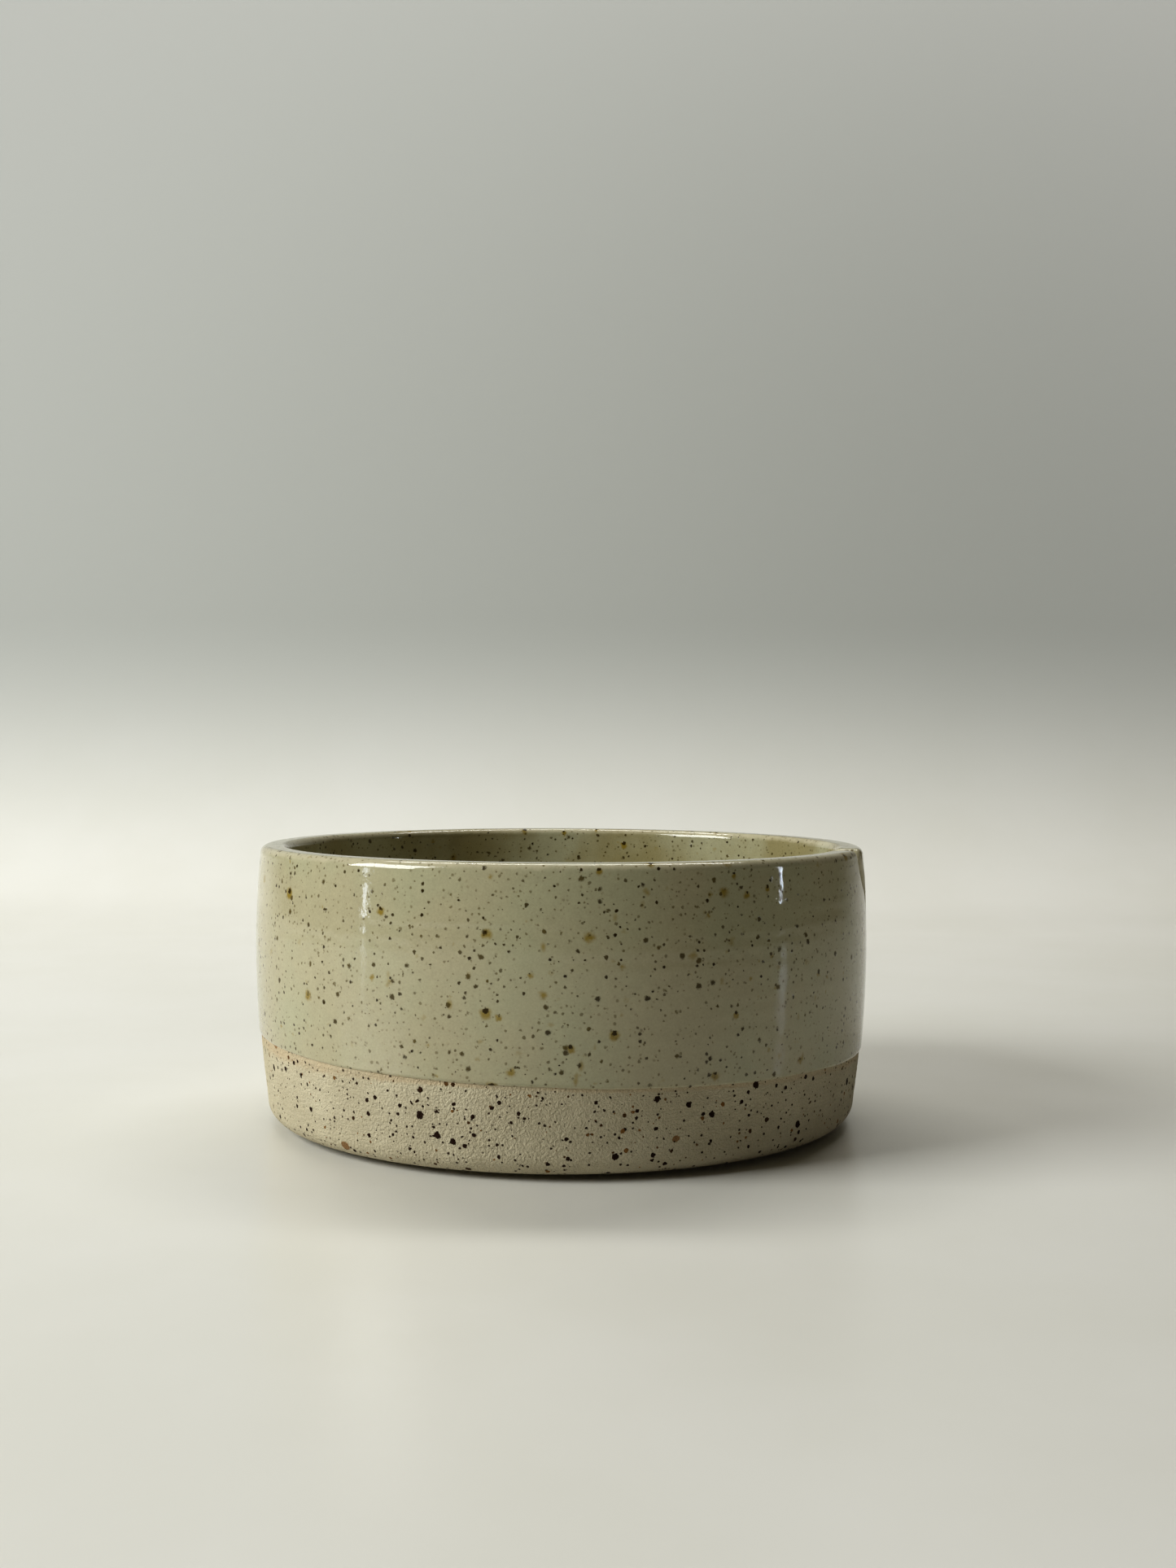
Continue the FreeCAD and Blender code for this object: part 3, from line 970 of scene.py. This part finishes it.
def clay_material():
    """Bare stoneware: gritty, ringed by trimming, with crisp specks, toasted under the dip line."""
    material, tree, surface = new_material("raw_stoneware")
    place = place_in_mm(tree)
    cloud = noise(tree, place, 14.0, 3.0).outputs["Fac"]
    blotch = noise(tree, place, 2.2, 4.0, 0.65).outputs["Fac"]
    grain = noise(tree, place, 0.42, 3.0, 0.6).outputs["Fac"]
    rings = noise(tree, place_in_mm(tree, (30, 30, 0.55)), 1.0, 3.0, 0.6).outputs["Fac"]
    colour = mixed(tree, fade(tree, cloud, 0.38, 0.72), CLAY_COLOUR, CLAY_PALE)

    below = add(tree, "Attribute", {}, attribute_name="below_line").outputs["Fac"]
    ragged_below = maths(tree, "ADD", below, weighed(tree, blotch, 0.9))
    patchy = fade(tree, cloud, 0.3, 0.65, 0.3, 0.7)
    toasted = times(tree, fade(tree, ragged_below, 1.2, 0.5), patchy)
    colour = mixed(tree, toasted, colour, CLAY_TOASTED)
    colour = lightened(tree, colour, [(blotch, 0.22), (grain, 0.36), (rings, 0.16), (cloud, 0.12)])

    rust, _ = specks(tree, ragged_place(tree, 70, 1.1, 0.4), 10.0, 1.7, 0.5, 0.2)
    colour = mixed(tree, times(tree, rust, 0.9), colour, CLAY_RUST)
    # Dark specks of three sizes: place, cell, radius, chance, softness, strength
    layers = [
        (ragged_place(tree, 40, 0.5, 0.20), 1.3, 0.38, 0.85, 0.35, 0.95),
        (ragged_place(tree, 11, 0.6, 0.28), 2.0, 0.60, 0.55, 0.2, 1.0),
        (ragged_place(tree, 27, 0.65, 0.42), 4.2, 0.98, 0.6, 0.15, 1.0),
    ]
    relief = []
    for where, cell, radius, chance, soft, strength in layers:
        mask, dice = specks(tree, where, cell, radius, chance, soft)
        speck_colour = mixed(tree, fade(tree, dice, 0.75, 1.0), CLAY_SPECK, CLAY_RUST)
        colour = mixed(tree, times(tree, mask, strength), colour, speck_colour)
        relief.append(mask)

    grit = noise(tree, place, 0.6, 2.0, 0.7).outputs["Fac"]
    specked = total(tree, relief)
    height = total(tree, [
        weighed(tree, grit, 0.50),
        weighed(tree, blotch, 0.12),
        weighed(tree, rings, 0.16),
        times(tree, specked, 0.08),
    ])
    finish_surface(tree, surface, {
        "Base Color": colour,
        "Roughness": maths(tree, "SUBTRACT", 0.92, times(tree, specked, 0.3)),
        "Specular IOR Level": maths(tree, "SUBTRACT", 0.3, times(tree, specked, 0.25)),
        "Normal": bumps(tree, height),
    })
    return material


def backdrop_material():
    """Pale stone that goes over to a grey wall. Far off, where no lamp reaches, it fades away."""
    material, tree, surface = new_material("pale_stone")
    place = place_in_mm(tree)
    vein = noise(tree, place, 90.0, 4.0, 0.55).outputs["Fac"]
    height = add(tree, "SeparateXYZ", {"Vector": place}).outputs["Z"]
    colour = mixed(tree, fade(tree, vein, 0.3, 0.7), STONE, STONE_PALE)
    colour = mixed(tree, fade(tree, height, 0.0, 160.0), colour, WALL_GREY)
    reach = add(tree, "VectorMath", {0: place}, operation="LENGTH").outputs["Value"]
    finish_surface(tree, surface, {
        "Base Color": colour,
        "Roughness": fade(tree, height, 0.0, 15.0, 0.3, 0.8),
        "Alpha": fade(tree, reach, 560.0, 1080.0, 1.0, 0.0),
    })
    return material


# ---------------------------------------------------------------- stage, lights and camera
FLOOR_REACH = 2.2                            # metres from the bowl to the floor's open edges
WALL_DISTANCE = 0.56                         # metres from the bowl to the backdrop's upright part
COVE = 0.16                                  # metres, radius of the backdrop's sweep
CAMERA_AZIMUTH = 5.0


def turned_by(azimuth, right, back):
    """A place on the floor plan, given to the right of the bowl and behind it as the camera sees it."""
    a = math.radians(azimuth)
    return right * math.cos(a) - back * math.sin(a), right * math.sin(a) + back * math.cos(a)


def build_backdrop():
    """A floor that sweeps up into a wall behind the bowl."""
    profile = [(-FLOOR_REACH, 0.0), (WALL_DISTANCE - COVE, 0.0)]
    for turn in np.linspace(0, math.pi / 2, 25)[1:]:
        profile.append((WALL_DISTANCE - COVE + COVE * math.sin(turn), COVE - COVE * math.cos(turn)))
    profile.append((WALL_DISTANCE, FLOOR_REACH))
    points = []
    for back, height in profile:
        for right in (-FLOOR_REACH, FLOOR_REACH):
            points.append((*turned_by(CAMERA_AZIMUTH, right, back), height))
    faces = [(2 * i, 2 * i + 1, 2 * i + 3, 2 * i + 2) for i in range(len(profile) - 1)]
    data = bpy.data.meshes.new("backdrop")
    data.from_pydata(points, [], faces)
    data.polygons.foreach_set("use_smooth", np.ones(len(faces), bool))
    floor = bpy.data.objects.new("backdrop", data)
    floor.data.materials.append(backdrop_material())
    bpy.context.scene.collection.objects.link(floor)


LIGHTS_FACE = (0.0, 0.0, 0.034)              # the middle of the bowl
LIGHTS = [
    # name, (right, back, height), (width, length) in metres, watts, colour
    ("key", (-0.97, -0.37, 0.62), (0.6, 0.6), 13.0, (0.97, 0.99, 0.97)),
    ("from_behind", (0.0, 0.42, 0.95), (1.0, 0.15), 4.8, (1.0, 0.99, 0.95)),
    ("left_window", (-0.9, -0.30, 0.06), (0.03, 0.08), 0.06, (0.80, 0.88, 1.0)),
    ("right_strip", (0.9, -0.09, 0.135), (0.005, 0.13), 0.14, (0.75, 0.85, 1.0)),
]


def add_light(name, place, size, power, colour):
    """An area light that faces the bowl, placed right of it and behind it as the camera sees it."""
    data = bpy.data.lights.new(name, "AREA")
    data.shape = "RECTANGLE"
    data.size, data.size_y = size
    data.energy = power
    data.color = colour
    light = bpy.data.objects.new(name, data)
    right, back, height = place
    light.location = (*turned_by(CAMERA_AZIMUTH, right, back), height)
    towards = Vector(LIGHTS_FACE) - light.location
    light.rotation_euler = towards.to_track_quat("-Z", "Y").to_euler()
    bpy.context.scene.collection.objects.link(light)


def build_world():
    """A dim room, which looks pale where the floor and the backdrop end."""
    world = bpy.data.worlds.new("room")
    world.use_nodes = True
    tree = world.node_tree
    seen = add(tree, "LightPath", {}).outputs["Is Camera Ray"]
    background = tree.nodes["Background"]
    tree.links.new(mixed(tree, seen, ROOM_DIM, ROOM_PALE), background.inputs["Color"])
    bpy.context.scene.world = world


CAMERA_DISTANCE = 0.435                      # metres from the bowl's middle
CAMERA_HEIGHT = 0.0937
CAMERA_RIGHT = 0.0062
CAMERA_PITCH = 1.56                          # degrees below the horizon
CAMERA_ROLL = 0.35                           # degrees, that lower the right side in the picture
LENS = 40.2                                  # millimetres, on a 36 mm sensor
CLIP_START = 0.01


def build_camera():
    """The camera at the viewing angle that was worked out for the bowl."""
    data = bpy.data.cameras.new("camera")
    data.lens = LENS
    data.clip_start = CLIP_START
    camera = bpy.data.objects.new("camera", data)
    camera.location = (*turned_by(CAMERA_AZIMUTH, CAMERA_RIGHT, -CAMERA_DISTANCE), CAMERA_HEIGHT)
    level = Euler((math.radians(90 - CAMERA_PITCH), 0.0, math.radians(CAMERA_AZIMUTH))).to_matrix()
    roll = Matrix.Rotation(math.radians(CAMERA_ROLL), 3, "Z")
    camera.rotation_euler = (level @ roll).to_euler()
    bpy.context.scene.collection.objects.link(camera)
    bpy.context.scene.camera = camera


# ---------------------------------------------------------------- the bowl
def build_bowl():
    """The clay and the three coats, each in place of its own CAD node."""
    clay = build_clay()
    clay.data.materials.append(clay_material())
    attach(clay, "root")
    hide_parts("clay_body")
    # The liner gets the darker, warmer colour: painted shade for the inside of the bowl
    inside = glaze_material("glaze_inside", GLAZE_INSIDE_SHADED, 3.2)
    outside = glaze_material("glaze_outside", GLAZE_COLOUR, 1.8)
    for group, coat in build_coats().items():
        coat.data.materials.append(inside if group == "liner" else outside)
        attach(coat, "root")
        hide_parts(group + "_glaze")


build_bowl()
build_backdrop()
for settings in LIGHTS:
    add_light(*settings)
build_world()
build_camera()
bpy.context.scene.view_settings.view_transform = "Standard"
bpy.context.scene.view_settings.look = "Medium High Contrast"
